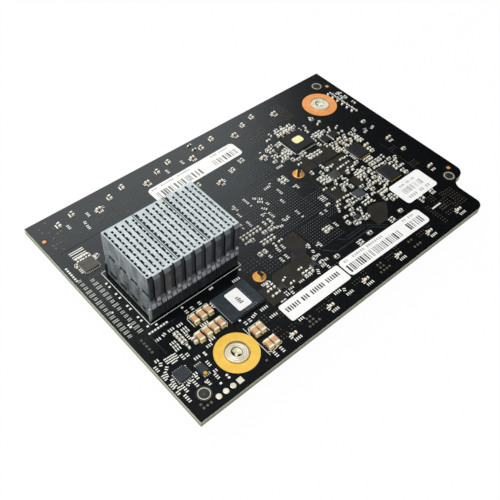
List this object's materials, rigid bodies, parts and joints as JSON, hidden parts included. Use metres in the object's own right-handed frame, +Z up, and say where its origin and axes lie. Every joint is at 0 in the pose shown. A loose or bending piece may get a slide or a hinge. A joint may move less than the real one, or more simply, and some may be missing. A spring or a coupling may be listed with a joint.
{
  "type": "flash storage mezzanine card",
  "caption": "Rectangular storage circuit board with a stepped corner, a tall slotted parallel-board connector, two captive screws, and a finned heat sink and memory packages underneath.",
  "frame": {"origin": "under the middle of the board, on the surface that the heat sink stands on", "axes": "+X along the long side from the connector end, +Y across the board, +Z up out of the connector side"},
  "size_m": [0.1334, 0.0888, 0.0342],
  "materials": {
    "solder_mask_board": "black solder mask on glass laminate",
    "gold_plating": "gold plated copper",
    "turned_steel": "turned and nickel plated",
    "connector_plastic": "moulded liquid crystal polymer",
    "wafer_plastic": "moulded liquid crystal polymer",
    "contact_metal": "plated copper alloy",
    "solder": "reflowed solder",
    "chip_epoxy": "moulded epoxy",
    "lid_metal": "nickel plated copper",
    "package_laminate": "green laminate",
    "thermal_rubber": "filled silicone",
    "sink_aluminium": "anodised",
    "brass": "turned",
    "spring_steel": "drawn wire",
    "ferrite": "pressed iron powder",
    "label_paper": "coated paper",
    "cover_film": "cream film",
    "tan_ceramic": "fired ceramic",
    "pale_ceramic": "fired ceramic with tinned ends"
  },
  "bodies": {
    "card": {"circuit_board": "solder_mask_board", "ring_pads": "gold_plating", "screw_sleeves": "turned_steel", "connector_housing_left": "connector_plastic", "connector_housing_middle": "connector_plastic", "connector_housing_right": "connector_plastic", "connector_wafers": "wafer_plastic", "connector_contacts": "contact_metal", "connector_solder_joints": "solder", "connector_hold_downs": "contact_metal", "controller_package": "package_laminate", "controller_lid": "lid_metal", "thermal_pad": "thermal_rubber", "heat_sink": "sink_aluminium", "near_heat_sink_pin": "brass", "far_heat_sink_pin": "brass", "heat_sink_springs": "spring_steel", "lower_flash_packages": "chip_epoxy", "upper_flash_packages": "chip_epoxy", "power_inductors": "ferrite", "memory_chip": "chip_epoxy", "memory_chip_sticker": "label_paper", "clock_chip": "chip_epoxy", "clock_chip_cover": "cover_film", "power_controller_chips": "chip_epoxy", "driver_chips": "chip_epoxy", "switch_chips": "chip_epoxy", "monitor_chip": "chip_epoxy", "logic_chip": "chip_epoxy", "latch_chip": "chip_epoxy", "gate_chips": "chip_epoxy", "serial_label": "label_paper", "origin_label": "label_paper", "part_label": "label_paper", "inspection_label": "label_paper", "block_capacitors": "tan_ceramic", "edge_capacitors": "tan_ceramic", "bypass_capacitors": "pale_ceramic", "power_section_parts": "pale_ceramic", "logic_section_parts": "pale_ceramic", "end_section_parts": "pale_ceramic"},
    "near_screw": {"near_captive_screw": "turned_steel"},
    "far_screw": {"far_captive_screw": "turned_steel"}
  },
  "joints": [
    {"name": "near_screw_slide", "type": "slide", "parent": "card", "child": "near_screw", "axis": [0, 0, 1], "range_m": [0, 0.004]},
    {"name": "far_screw_slide", "type": "slide", "parent": "card", "child": "far_screw", "axis": [0, 0, 1], "range_m": [0, 0.004]}
  ]
}
